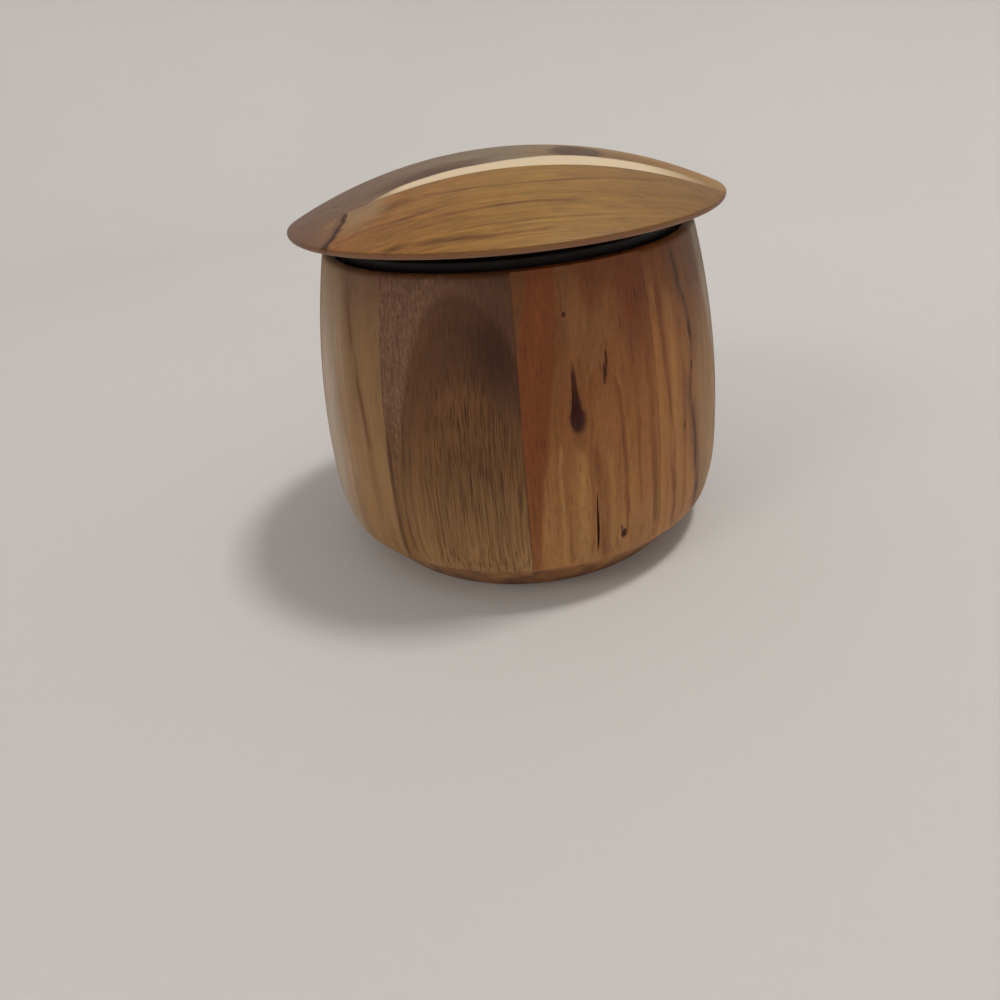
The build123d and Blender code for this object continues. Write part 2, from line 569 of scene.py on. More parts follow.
class Finish(Network):
    """A procedural material under construction."""

    def noise(self, vector, detail, roughness=0.5):
        """Soft noise between 0 and 1."""
        made = self.node("ShaderNodeTexNoise", noise_dimensions="3D")
        self.feed(made.inputs["Vector"], vector)
        self.feed(made.inputs["Scale"], 1.0)
        self.feed(made.inputs["Detail"], detail)
        self.feed(made.inputs["Roughness"], roughness)
        return made.outputs["Fac"]

    def share(self, value, low, high, eased=True):
        """0 where a value is at low and 1 where it is at high, and between them in between."""
        ease_kind = "SMOOTHSTEP" if eased else "LINEAR"
        return self.work_out("ShaderNodeMapRange", (value, low, high), interpolation_type=ease_kind)

    def ramp(self, value, stops):
        """A colour that changes with a value, through (value, colour) stops."""
        first, last = stops[0][0], stops[-1][0]
        made = self.node("ShaderNodeValToRGB")
        elements = made.color_ramp.elements
        for place, colour in stops[1:-1]:
            elements.new((place - first) / (last - first)).color = (*colour, 1.0)
        elements[0].color = (*stops[0][1], 1.0)
        elements[len(stops) - 1].color = (*stops[-1][1], 1.0)
        self.feed(made.inputs["Fac"], self.share(value, first, last, eased=False))
        return made.outputs["Color"]

    def follow(self, value, points):
        """A number that follows a value along a smooth line through (value, number) points."""
        first, last = points[0][0], points[-1][0]
        low = min(number for place, number in points)
        span = max(number for place, number in points) - low
        made = self.node("ShaderNodeFloatCurve")
        curve = made.mapping.curves[0]
        curve.points[0].location = (0.0, (points[0][1] - low) / span)
        curve.points[1].location = (1.0, (points[-1][1] - low) / span)
        for place, number in points[1:-1]:
            curve.points.new((place - first) / (last - first), (number - low) / span)
        made.mapping.update()
        self.feed(made.inputs["Value"], self.share(value, first, last, eased=False))
        return self.math("MULTIPLY_ADD", made.outputs["Value"], span, low)

    def mix(self, share, under, over, blend="MIX"):
        """One colour over another."""
        made = self.node("ShaderNodeMix", data_type="RGBA", blend_type=blend)
        self.feed(made.inputs[MIX_SHARE], share)
        self.feed(made.inputs[MIX_UNDER], under)
        self.feed(made.inputs[MIX_OVER], over)
        return made.outputs[MIX_COLOUR]

    def bump(self, height):
        """Feeds a height in millimetres to the shader's normal."""
        made = self.node("ShaderNodeBump")
        self.feed(made.inputs["Distance"], MM)
        self.feed(made.inputs["Height"], height)
        self.feed(self.shader.inputs["Normal"], made.outputs["Normal"])

    def coat(self, piece):
        """Puts the finish on a piece."""
        piece.data.materials.append(self.material)
        print(f"{self.material.name} is a network of {len(self.tree.nodes)} nodes")


print("The finish kit is ready")

# %% [markdown]
# ## How acacia looks, and why
#
# A board is a slice of a log, so its figure is the log's rings where the board's surface cuts them. The
# honest way to draw it is in the solid: measure how far each point lies from the log's heart line, and
# colour it by that distance. On the barrel-shaped wall this gives the arches of a flat-sawn stave for
# free, because the turned surface slices down through the rings. Where the grain meets a knot it parts
# and closes again, like a stream round a stone, so the rings can be pushed aside there.
#
# Working in a board's own millimetres of depth, across and along makes every size easy to judge against
# a ruler. Anything fine is noise, stretched along the fibres.

# %% A board in its log
# A noise is shifted by its board's seed and by its own, so that no two of them show the same clouds.
BOARD_SHIFT = 13.7
LAYER_SHIFT = 5.3

# Millimetres along the board over which rings keep their shape.
RING_LENGTH = 90.0


class Board(Finish):
    """Wood in a board's own millimetres: depth into the log, across the grain and along it.

    The board's axes are the jar's, swung by some degrees about the jar's axis.
    """

    def __init__(self, name, swung, seed, lying=False):
        super().__init__(name)
        board = self.node("ShaderNodeMapping", vector_type="POINT")
        board.inputs["Rotation"].default_value = (0, 0, math.radians(swung))
        board.inputs["Scale"].default_value = (1 / MM, 1 / MM, 1 / MM)
        self.feed(board.inputs["Vector"], self.place)
        parts = self.node("ShaderNodeSeparateXYZ")
        self.feed(parts.inputs[0], board.outputs["Vector"])
        x, y, z = parts.outputs
        self.depth, self.across, self.along = (z, y, x) if lying else (x, y, z)
        self.side = self.across
        self.flow = self.across
        self.seed = seed
        self.relief = 0.0
        self.dullness = 0.0

    def sizes_away(self, value, middle, size):
        """How many sizes a value lies from a middle."""
        return self.math("DIVIDE", self.minus(value, middle), size)

    def part_round(self, across, along, push, width, length):
        """Parts the grain round a knot: the flow is pushed aside near it, and closes beyond it."""
        aside = self.sizes_away(self.across, across, width)
        ahead = self.sizes_away(self.along, along, length)
        fading = self.math("EXPONENT", self.times(ahead, ahead, -1.0))
        spread = self.math("MULTIPLY_ADD", aside, aside, 1.0)
        shift = self.times(self.math("DIVIDE", aside, spread), fading, 2 * push)
        self.flow = self.minus(self.flow, shift)

    def grain(self, width, length, detail, seed):
        """Noise whose features are about so many millimetres wide and long, and twice as deep as wide."""
        shift = self.seed * BOARD_SHIFT + seed * LAYER_SHIFT
        scale = (0.5 / width, 1 / width, 1 / length)
        place = self.combine(self.depth, self.flow, self.along)
        return self.noise(self.stretch(place, scale, (shift, shift, shift)), detail)

    def waver(self, value, amount, width, length, detail, seed):
        """A value that strays to either side by up to an amount, in clouds of some width and length."""
        stray = self.minus(self.grain(width, length, detail, seed), 0.5)
        return self.math("MULTIPLY_ADD", stray, 2 * amount, value)

    def wavering(self, wobble, seed=11.0):
        """The place from side to side, with the small waver that everything in wood has."""
        return self.waver(self.side, wobble, 9.0, 13.0, 2.0, seed)

    def rings(self, heart_depth, heart_across, wander):
        """The distance from the heart line, which wanders a little along the board."""
        away = self.minus(self.depth, heart_depth)
        aside = self.minus(self.flow, heart_across)
        distance = self.hypotenuse(away, aside)
        self.ring = self.waver(distance, wander, 30.0, RING_LENGTH, 2.0, seed=1.0)


print("A board knows its rings")

# %% [markdown]
# Real boards are less regular than rings, so there are also streaks and zones that follow a line drawn
# through a few points. Over all of it lie the fine things: fibres, and the open pores, which show as thin
# dark dashes along the grain. Knots and checks come last, a little below the surface, and then the oil.

# %% Acacia, in the solid
RING_LINES_SHIFT = 7.1

# How far the borders between colours stray along the board, in millimetres, and how far streaks and
# zones stray from their lines, in millimetres or, on a stave, in degrees.
BORDER_WANDER = 6.0
WOBBLE = 0.7

# A streak is full within its core and gone past its blur, in half widths. Each end fades, from an
# overrun past the line's last point to some way short of it, in millimetres.
STREAK_BLUR = 1.7
STREAK_CORE = 0.3
STREAK_OVERRUN = 2.0
STREAK_FADE = 3.0

# Heights and depths are in millimetres. Dullness is roughness, added where no cloth reaches.
FIBRE_HEIGHT = 0.03
PORE_DEPTH = 0.05
PORE_DULLNESS = 0.12
PIN_HOLE_DEPTH = 0.12
KNOT_DULLNESS = 0.15

# A pore shows where its noise passes a threshold, which is lower where pores crowd or cover more.
PORE_THRESHOLD = 0.74
PORE_COVERAGE = 0.2
PORE_CROWDING = 0.12
PORE_SOFTNESS = 0.16
PORE_SHADE = (0.42, 0.34, 0.28)

SATIN_ROUGHNESS = 0.46
ROUGHNESS_WAVER = 0.07
OIL_SHINE = 0.22


class Acacia(Board):
    """Acacia, from its main colours to the oil that is rubbed in."""

    def base(self, stops):
        """The board's main colours from one end to the other, with a wandering border between them."""
        self.colour = self.ramp(self.waver(self.along, BORDER_WANDER, 6.0, 9.0, 3.0, seed=20.0), stops)

    def shade(self, share, colour, amount=1.0, blend="MIX"):
        """Lays one colour over the wood, in some share that may vary from place to place."""
        self.colour = self.mix(self.times(share, amount), self.colour, colour, blend)

    def streaks(self, rows, wobble=WOBBLE):
        """Streaks of colour, each between the ends of its line of (along, side) points."""
        for points, half_width, colour, amount in rows:
            away = self.apart(self.wavering(wobble), self.follow(self.along, points))
            body = self.share(away, half_width * STREAK_BLUR, half_width * STREAK_CORE)
            low_end, high_end = points[0][0], points[-1][0]
            begins = self.share(self.along, low_end - STREAK_OVERRUN, low_end + STREAK_FADE)
            ends = self.share(self.along, high_end + STREAK_OVERRUN, high_end - STREAK_FADE)
            broken = self.share(self.grain(3.0, 16.0, 2.0, seed=12.0), 0.2, 0.6)
            self.shade(self.times(body, begins, ends, broken), colour, amount)

    def beyond(self, points, softness, colour, amount=1.0):
        """A zone of colour on the far side of a line of (along, side) points."""
        past_line = self.minus(self.wavering(WOBBLE), self.follow(self.along, points))
        self.shade(self.share(past_line, -softness, softness), colour, amount)

    def tone(self, noise, strength, where=1.0):
        """Makes the wood lighter or darker with a noise, evenly about its own colour."""
        swing = self.times(self.minus(noise, 0.5), where)
        made = self.node("ShaderNodeVectorMath", operation="SCALE")
        self.feed(made.inputs[0], self.colour)
        self.feed(made.inputs["Scale"], self.math("MULTIPLY_ADD", swing, strength * 2, 1.0))
        self.colour = made.outputs["Vector"]

    def lines(self, width, strength):
        """Lines that follow the rings, lighter and darker by turns."""
        across_rings = self.math("DIVIDE", self.ring, width)
        along = self.math("DIVIDE", self.along, RING_LENGTH)
        where = self.combine(across_rings, along, self.seed * RING_LINES_SHIFT + 2.0)
        self.tone(self.noise(where, 3.0, roughness=0.55), strength)

    def fibres(self, strength, width=0.6, length=22.0):
        """The finest grain, which also lifts the surface a hair."""
        fine = self.grain(width, length, 2.0, seed=3.0)
        self.tone(fine, strength)
        self.relief = self.math("MULTIPLY_ADD", fine, FIBRE_HEIGHT, self.relief)

    def press_in(self, mask, depth, dullness):
        """Sinks the places of a mask a little below the surface, where they stay duller."""
        self.relief = self.math("MULTIPLY_ADD", mask, -depth, self.relief)
        self.dullness = self.math("MULTIPLY_ADD", mask, dullness, self.dullness)

    def pores(self, amount, coverage, length, width=0.55, where=1.0, seed=4.0):
        """Open pores: thin dark dashes along the grain, more of them in some clouds than in others."""
        dashes = self.grain(width, length, 1.0, seed)
        crowding = self.grain(7.0, 24.0, 2.0, seed + 1.0)
        uncrowded = PORE_THRESHOLD - PORE_COVERAGE * coverage
        threshold = self.math("MULTIPLY_ADD", crowding, -PORE_CROWDING, uncrowded)
        fully = self.math("ADD", threshold, PORE_SOFTNESS)
        pore = self.times(self.share(dashes, threshold, fully), where)
        self.shade(pore, PORE_SHADE, amount, blend="MULTIPLY")
        self.press_in(pore, PORE_DEPTH, PORE_DULLNESS)

    def oval(self, side, along, half_width, half_length, softness=0.3, ragged=0.25, rag_size=(1.0, 2.0)):
        """1 inside an oval on the board's face, easing to 0 outside its slightly ragged edge."""
        aside = self.sizes_away(self.side, side, half_width)
        ahead = self.sizes_away(self.along, along, half_length)
        reach_out = self.waver(self.hypotenuse(aside, ahead), ragged, *rag_size, 3.0, seed=13.0)
        return self.share(reach_out, 1.0 + softness, 1.0 - softness)

    def knot(self, mask, colour, amount=1.0, depth=PIN_HOLE_DEPTH):
        """A dark knot, check or pin hole, a little below the surface and not polished."""
        self.shade(mask, colour, amount)
        self.press_in(self.times(mask, amount), depth, KNOT_DULLNESS)

    def oil(self, piece, roughness=SATIN_ROUGHNESS):
        """Rubs in the oil: connects colour, gloss and relief to the shader, and coats the piece."""
        worn = self.waver(roughness, ROUGHNESS_WAVER, 6.0, 10.0, 3.0, seed=8.0)
        self.feed(self.shader.inputs["Base Color"], self.colour)
        self.feed(self.shader.inputs["Roughness"], self.math("ADD", worn, self.dullness))
        self.shader.inputs["Specular IOR Level"].default_value = OIL_SHINE
        self.bump(self.relief)
        self.coat(piece)


print("Acacia can be drawn in the solid")

# %% [markdown]
# ## The woods' colours
#
# Colours are written as linear light, as Blender's nodes expect. They were matched board by board:
# acacia's heartwood runs from gold through orange to a dark grey brown, and its sapwood is cream.

# %% Name the woods' colours
STRAW = (0.215, 0.104, 0.034)
GOLD = (0.165, 0.078, 0.022)
OLIVE = (0.142, 0.062, 0.019)
HONEY = (0.265, 0.135, 0.028)
AMBER = (0.280, 0.122, 0.034)
ORANGE = (0.232, 0.090, 0.022)
RUSSET = (0.198, 0.070, 0.017)
MAHOGANY = (0.148, 0.045, 0.011)
RED = (0.138, 0.032, 0.007)
CHESTNUT = (0.125, 0.045, 0.012)
UMBER = (0.068, 0.024, 0.009)
TAUPE = (0.128, 0.058, 0.029)
ROSE = (0.205, 0.098, 0.045)
FAWN = (0.262, 0.138, 0.053)
OCHRE = (0.205, 0.108, 0.041)
SAPWOOD = (0.300, 0.208, 0.132)
CREAM = (0.620, 0.480, 0.310)
KNOT = (0.042, 0.009, 0.005)
print("Gold is", GOLD, "and cream is", CREAM)

# %% [markdown]
# ## The staves' finishes
#
# Each stave came from another board, and only its outer face and its two mitres show that it did. So
# each stave gets its own heart line, its own colours and its own seed. Places on a stave are given in
# degrees round the jar from the front joint, to the right, and in millimetres up from the table, because
# both can be measured with a paper strip. The glue line between two staves is a hair of dark, broken
# here and there where the joint is perfect.

# %% Wood for the staves
GLUE_CORE = 0.02
STAVE_GLUE = (0.25, 0.17, 0.13)

# End grain on the foot's cone, from the patches that drank little oil to those that drank the most.
END_GRAIN = [(0.35, AMBER), (0.5, RUSSET), (0.65, CHESTNUT)]


def stave_wood(name, seed):
    """Acacia in the coordinates of one stave: its middle faces out along depth."""
    middle = (STAVES.index(name) + 0.5) * STAVE_ANGLE
    if middle > FULL_TURN / 2:
        middle -= FULL_TURN
    wood = Acacia(name + "_wood", -(FRONT + middle), seed)
    from_middle = wood.math("DEGREES", wood.math("ARCTAN2", wood.across, wood.depth))
    wood.side = wood.math("ADD", from_middle, middle)
    return wood


def glue_line(wood, away, width, run, colour, amount):
    """Darkens a hair beside a glue line, in runs of some length with gaps between them."""
    hair = wood.share(away, width, GLUE_CORE)
    broken = wood.share(wood.grain(4.0, run, 2.0, seed=9.0), 0.35, 0.6)
    wood.shade(wood.times(hair, broken), colour, amount, blend="MULTIPLY")


def mitres(wood):
    """The two mitres of a stave, where the glue holds a little oil and dust."""
    half = math.radians(STAVE_ANGLE / 2)
    out = wood.times(wood.depth, math.sin(half))
    aside = wood.times(wood.math("ABSOLUTE", wood.across), math.cos(half))
    glue_line(wood, wood.minus(out, aside), width=0.30, run=12.0, colour=STAVE_GLUE, amount=0.6)


def rubbed_edge_and_painted_highlight(wood):
    """Pales the turned edge: partly wear, partly a painted highlight along the arris; the cone stays dull.
    """
    # Painted highlight: the pale patches on the arris stand partly for light catching the edge, partly for
    # wear.
    edge = wood.share(wood.apart(wood.along, turned_edge_height), 0.55, 0.1)
    patches = wood.share(wood.grain(3.0, 3.0, 3.0, seed=10.0), 0.35, 0.65)
    wood.shade(wood.times(edge, patches), FAWN, 0.55)


def foot_cone(wood):
    """Below the turned edge the cone cuts across the grain, which drinks more oil and looks redder."""
    below = wood.share(wood.along, turned_edge_height + 0.1, turned_edge_height - 0.5)
    wood.shade(below, wood.ramp(wood.grain(5.0, 5.0, 2.0, seed=21.0), END_GRAIN), 0.85)
    wood.tone(wood.grain(2.2, 2.6, 3.0, seed=23.0), 0.45, below)


def finish_stave(name, wood):
    """The steps that every stave shares, once its own figure is drawn."""
    foot_cone(wood)
    mitres(wood)
    # The paler turned edge is partly wear and partly a painted highlight.
    rubbed_edge_and_painted_highlight(wood)
    wood.oil(pieces[name])


print("Every stave can be given its own wood")

# %% [markdown]
# ## The arched stave
#
# The most striking board is flat-sawn: a dark arch of late heartwood over a golden tongue. The heart line
# lies far outside the jar, in front of it, so the barrel's surface cuts the rings in an arch. The golden
# tongue is full of long, thin, dark pores, and the wood outside the arch is mottled with short ones.

# %% Finish the arched stave
dark_arch = stave_wood("stave_10", seed=1.0)
dark_arch.rings(heart_depth=96.4, heart_across=8.3, wander=1.4)
dark_arch.base([(12, FAWN), (44, OLIVE), (88, CHESTNUT)])

outside_arch = dark_arch.share(dark_arch.ring, 43.2, 45.6)
mottled_taupe = (0.152, 0.072, 0.038)
upper_colours = [(12, STRAW), (28, GOLD), (44, OLIVE), (60, mottled_taupe), (80, mottled_taupe), (88, TAUPE)]
dark_arch.shade(outside_arch, dark_arch.ramp(dark_arch.along, upper_colours))

arch_inner = dark_arch.share(dark_arch.ring, 38.4, 42.2)
arch_outer = dark_arch.share(dark_arch.ring, 45.4, 44.0)
arch_legs = dark_arch.share(dark_arch.along, 40.0, 68.0)
arch_right = dark_arch.follow(dark_arch.side, [(-36, 0.30), (-26, 0.45), (-14, 0.85), (0, 1.0)])
dark_arch.shade(dark_arch.times(arch_inner, arch_outer, arch_legs, arch_right), UMBER)

top_right = dark_arch.times(dark_arch.share(dark_arch.side, -20, -6), outside_arch)
dark_arch.shade(top_right, (0.062, 0.020, 0.007), 0.6)
dark_arch.streaks([
    ([(12, -35.0), (30, -35.2), (50, -35.4)], 0.5, UMBER, 0.8),
    ([(14, -31.2), (26, -32.2), (40, -31.6), (52, -30.4), (64, -27.2)], 0.4, UMBER, 0.7),
    ([(13, -28.4), (30, -29.8), (44, -29.2), (56, -27.2)], 0.35, UMBER, 0.4),
])
dark_arch.shade(dark_arch.oval(-5.0, 72.0, 4.5, 8.0, softness=0.8), (0.042, 0.011, 0.003), 0.7)

tongue = dark_arch.share(dark_arch.ring, 42.5, 39.5)
speckled = dark_arch.times(
    dark_arch.share(dark_arch.ring, 43.0, 46.0),
    dark_arch.share(dark_arch.side, -6.0, -24.0),
    dark_arch.share(dark_arch.along, 26.0, 52.0),
)
dark_arch.lines(1.3, 0.3)
dark_arch.fibres(0.45, width=0.42, length=26.0)
dark_arch.pores(0.65, coverage=0.85, length=22.0, width=0.42, where=tongue)
dark_arch.pores(0.55, coverage=0.8, length=12.0, width=0.38, where=tongue, seed=24.0)
dark_arch.tone(dark_arch.grain(0.7, 1.3, 2.0, seed=18.0), 0.66, speckled)
dark_arch.pores(0.42, coverage=0.75, length=2.4, where=speckled, seed=14.0)
finish_stave("stave_10", dark_arch)

# %% [markdown]
# ## The knotted stave
#
# Right of the front joint is a red-brown board with a teardrop knot, two pin knots, a dark fleck and a
# drying check near the foot. A list of ovals holds their places and depths, because the same list sank
# them into the stave's mesh. The red heartwood forms a wedge along the joint.

# %% Finish the knotted stave
knotted = stave_wood("stave_01", seed=2.0)
knotted.part_round(across=-4.6, along=54.0, push=1.7, width=2.4, length=8.0)
knotted.part_round(across=3.4, along=64.5, push=0.9, width=1.8, length=5.0)
knotted.part_round(across=6.5, along=19.0, push=0.8, width=1.4, length=4.0)
knotted.rings(heart_depth=17.0, heart_across=-51.0, wander=2.0)
knotted.base([(24, AMBER), (56, RUSSET), (88, MAHOGANY)])
knotted.shade(knotted.share(knotted.grain(9.0, 18.0, 2.0, seed=6.0), 0.42, 0.68), FAWN, 0.25)
knotted.shade(knotted.oval(31.0, 84, 5.5, 13.0, softness=0.6), RED, 0.75)

deep_red = (0.158, 0.042, 0.008)
red_colours = [(12, RUSSET), (44, deep_red)]
red_left = [(12, -2.0), (60, -1.2), (68, 0.2), (78, 1.8), (88, 3.6)]
red_right = [(12, 2.2), (30, 3.4), (46, 5.6), (58, 7.4), (72, 9.4), (88, 11.2)]
right_of_start = knotted.minus(knotted.wavering(WOBBLE), knotted.follow(knotted.along, red_left))
right_of_end = knotted.minus(knotted.wavering(WOBBLE), knotted.follow(knotted.along, red_right))
started = knotted.share(right_of_start, -0.5, 0.5)
red_wedge = knotted.times(started, knotted.share(right_of_end, 0.9, -0.9))
knotted.shade(red_wedge, knotted.ramp(knotted.along, red_colours))
knotted.shade(knotted.minus(1.0, started), CHESTNUT, 0.8)

pale_lines = (0.330, 0.165, 0.050)
wavy_line = [(18, 25.6), (35, 25.1), (48, 24.8), (57, 24.4), (63, 22.0)]
beside_wavy_line = [(height, side + 1.1) for height, side in wavy_line]
knotted.streaks([
    ([(12, 8.7), (30, 8.3), (48, 8.8)], 0.5, pale_lines, 0.7),
    ([(12, 10.2), (30, 10.2), (48, 10.8)], 0.5, MAHOGANY, 0.55),
    ([(12, 13.6), (28, 13.2), (46, 13.4)], 1.4, pale_lines, 0.7),
    ([(14, 15.8), (30, 16.0), (50, 15.4)], 0.5, RUSSET, 0.6),
    ([(12, 18.9), (26, 18.9), (38, 18.2), (47, 17.2)], 1.3, MAHOGANY, 0.7),
    ([(14, 21.8), (30, 21.4), (44, 21.0)], 0.8, pale_lines, 0.4),
])
knotted.streaks([(wavy_line, 0.5, MAHOGANY, 0.85), (beside_wavy_line, 0.4, pale_lines, 0.2)], wobble=0.4)
knotted.streaks([
    ([(45, 15.3), (54, 16.0), (61, 16.1), (65, 17.8), (67, 20.6)], 0.35, pale_lines, 0.25),
    ([(46, 16.2), (54, 16.8), (60, 17.0), (64, 18.8), (65, 20.4)], 0.4, MAHOGANY, 0.6),
], wobble=0.3)
knotted.streaks([
    ([(26, 29.6), (40, 29.2), (55, 29.4), (72, 28.2)], 0.6, MAHOGANY, 0.5),
    ([(18, 34.6), (40, 33.9), (60, 33.9), (78, 33.0)], 0.9, MAHOGANY, 0.7),
])
knotted.lines(2.6, 0.3)
knotted.fibres(0.25)
knotted.tone(knotted.grain(1.2, 2.0, 2.0, seed=19.0), 0.16)
knotted.pores(0.4, coverage=0.45, length=5.0)

knotted.shade(knotted.oval(13.4, 56.0, 3.6, 9.0, softness=0.5), MAHOGANY, 0.3)
for *oval, depth in KNOT_OVALS:
    knotted.knot(knotted.oval(*oval), KNOT, min(1.0, 0.6 + depth))
finish_stave("stave_01", knotted)

# %% [markdown]
# ## The staves at the sides
#
# To the right is an orange board with a dark, wavy mineral streak. It turns tan beyond the streak, and
# near its far side a pale, greyish band is painted sheen. To the left is the palest board, ochre with
# sapwood at its far edge, and one brown streak that leans as it climbs. Such figure follows no ring, so it
# is drawn with streaks and zones along lines through a few points.

# %% Finish the stave at the right side
orange = stave_wood("stave_02", seed=3.0)
orange.rings(heart_depth=20.0, heart_across=-60.0, wander=2.0)
bright_orange = (0.250, 0.097, 0.022)
bright_amber = (0.315, 0.140, 0.040)
orange.base([(26, bright_amber), (60, bright_orange), (88, MAHOGANY)])
tan_wood = orange.ramp(orange.along, [(30, FAWN), (54, STRAW), (76, CHESTNUT)])
orange.beyond([(12, 55.5), (30, 53.4), (50, 52.6), (70, 53.5), (88, 52.0)], 1.2, tan_wood)
mineral = [(12, 55.0), (20, 53.2), (30, 51.7), (40, 50.9), (50, 49.9), (58, 50.8), (66, 51.6)]
mineral += [(78, 49.6), (87, 48.0)]
orange.streaks([
    ([(16, 37.4), (40, 37.2), (62, 37.6), (80, 37.8)], 0.8, AMBER, 0.7),
    ([(12, 42.2), (30, 41.2), (42, 40.7), (52, 39.8), (66, 39.6), (82, 40.2)], 0.9, MAHOGANY, 0.95),
    ([(40, 42.8), (56, 42.4), (66, 42.8), (78, 43.4)], 1.3, AMBER, 0.8),
    ([(14, 46.4), (34, 46.0), (56, 46.6), (74, 46.4)], 0.8, MAHOGANY, 0.6),
    ([(14, 48.6), (30, 48.2), (46, 48.0)], 0.9, AMBER, 0.5),
    (mineral, 3.0, CHESTNUT, 0.8),
    ([(62, 53.0), (74, 54.0), (82, 54.2), (88, 54.0)], 2.6, CHESTNUT, 0.7),
    (mineral, 0.8, UMBER, 0.95),
])
orange.lines(2.2, 0.35)
orange.fibres(0.2)
orange.pores(0.34, coverage=0.45, length=6.0)
# Painted sheen: a pale greyish band near the stave's far edge stands in for light glancing off the wall.
painted_sheen_line = [(12, 76.0), (40, 74.0), (58, 68.0), (72, 65.5), (88, 64.5)]
orange.beyond(painted_sheen_line, 1.6, (0.215, 0.150, 0.092), 0.85)
for oval in [(45.9, 42.3, 0.3, 1.5), (51.5, 66.0, 0.9, 2.4), (50.7, 57.0, 0.5, 1.3)]:
    orange.knot(orange.oval(*oval), UMBER)
finish_stave("stave_02", orange)

# %% Finish the stave at the left side
pale = stave_wood("stave_09", seed=4.0)
pale.rings(heart_depth=24.0, heart_across=70.0, wander=2.5)
pale.base([(36, FAWN), (70, OCHRE), (88, TAUPE)])
pale_sap = (0.350, 0.255, 0.178)
sap_colours = [(60, pale_sap), (88, OCHRE)]
pale.shade(pale.share(pale.wavering(2.0), -48.0, -63.0), pale.ramp(pale.along, sap_colours))
leaning_top = [(44, -42.5), (52, -43.5), (62, -45.4), (70, -47.2), (80, -49.3), (88, -50.8)]
leaning = [(12, -39.4), (24, -40.6), (34, -41.8), *leaning_top]
pale.streaks([
    (leaning, 1.6, OLIVE, 0.45),
    (leaning_top, 0.7, CHESTNUT, 0.9),
    ([(14, -51.6), (24, -51.4), (34, -52.4)], 1.3, OCHRE, 0.6),
    ([(44, -54.2), (54, -54.6), (64, -56.0)], 1.6, OCHRE, 0.5),
    ([(60, -37.2), (74, -37.0), (87, -37.4)], 0.9, ROSE, 0.4),
])
pale.lines(2.4, 0.3)
pale.fibres(0.22)
pale.pores(0.3, coverage=0.4, length=6.0)
finish_stave("stave_09", pale)

# %% [markdown]
# ## The staves round the back
#
# The other six boards are ordinary acacia, each from its own part of a log: a few bands of colour, by
# distance from the heart line, and the same fine grain. A table of their heart lines and colours and one
# loop are enough for all of them.

# %% Finish the staves round the back
# Each stave: its seed, the heart line's depth and place across, and four bands of colour outwards.
BACK_STAVES = {
    "stave_03": (5.0, 84.0, -6.0, [ORANGE, GOLD, CHESTNUT, GOLD]),
    "stave_04": (6.0, 30.0, -64.0, [UMBER, TAUPE, CHESTNUT, TAUPE]),
    "stave_05": (7.0, 96.0, 10.0, [FAWN, SAPWOOD, OCHRE, ROSE]),
    "stave_06": (8.0, 22.0, 58.0, [GOLD, STRAW, CHESTNUT, STRAW]),
    "stave_07": (9.0, 90.0, 4.0, [RED, MAHOGANY, RUSSET, MAHOGANY]),
    "stave_08": (10.0, 26.0, 66.0, [ORANGE, AMBER, RUSSET, ORANGE]),
}


def draw_bands(wood, heart_depth, heart_across, face_depth, colours, lead, width):
    """Bands of colour round the heart line, the first of them a lead short of the board's face."""
    wood.rings(heart_depth, heart_across, wander=2.5)
    first = math.hypot(heart_depth - face_depth, heart_across) - lead
    stops = [(first + width * step, colour) for step, colour in enumerate(colours)]
    wood.colour = wood.ramp(wood.ring, stops)
    wood.lines(1.8, 0.5)
    wood.fibres(0.3)


for name, (seed, heart_depth, heart_across, colours) in BACK_STAVES.items():
    wood = stave_wood(name, seed)
    draw_bands(wood, heart_depth, heart_across, belly_radius, colours, lead=16, width=9)
    wood.tone(wood.grain(1.2, 2.2, 2.0, seed=19.0), 0.14)
    wood.pores(0.5, coverage=0.5, length=9.0, width=0.45)
    finish_stave(name, wood)

# %% [markdown]
# ## The lid's finishes
#
# The lid's grain runs from side to side. The front board is golden, with streaks, and its left end is
# cut off by a dark, wavy boundary, beyond which the wood is a dull grey brown. The middle board has a
# strip of cream sapwood along its front glue line and grey-brown heartwood behind it, which is what makes
# this lid easy to tell from any other. Across the lid, places are in millimetres from its centre.

# %% Wood for the lid
LID_GLUE = (0.3, 0.2, 0.15)


def lid_wood(name, seed):
    """Acacia that lies down: along runs from left to right and depth is height."""
    return Acacia(name + "_wood", -LID_TURN, seed, lying=True)


def lid_edge_bands_and_painted_reflection(wood):
    """Lid edge: a darker line under the dome, and below it a rosy painted reflection, palest at the bottom.
    """
    from_axis = wood.hypotenuse(wood.across, wood.along)
    at_edge = wood.share(from_axis, lid_radius - 1.8, lid_radius - 0.9)
    weaker_left = wood.follow(wood.along, [(-52.0, 0.35), (-38.0, 1.0)])
    # The two lower bands are painted reflection of floor light on the edge's underside; the palest is a
    # painted highlight.
    for top, softness, amount, colour in (
        (lid_edge_top, 0.3, 0.65, CHESTNUT),
        (lid_edge_top - 0.4, 0.4, 0.7, (0.196, 0.088, 0.046)),
        (lid_bottom + 0.5, 0.4, 0.6, (0.240, 0.140, 0.088)),
    ):
        below = wood.share(wood.depth, top + softness / 2, top - softness / 2)
        wood.shade(wood.times(below, at_edge, weaker_left), colour, amount)


def finish_lid_board(name, wood):
    """The steps that the lid's boards share."""
    # The edge's rosy lower bands are painted reflection.
    lid_edge_bands_and_painted_reflection(wood)
    for joint in (lid_front_joint, lid_back_joint):
        away = wood.apart(wood.across, joint)
        glue_line(wood, away, width=0.28, run=14.0, colour=LID_GLUE, amount=0.55)
    wood.oil(pieces[name])


print("The lid's wood is ready")

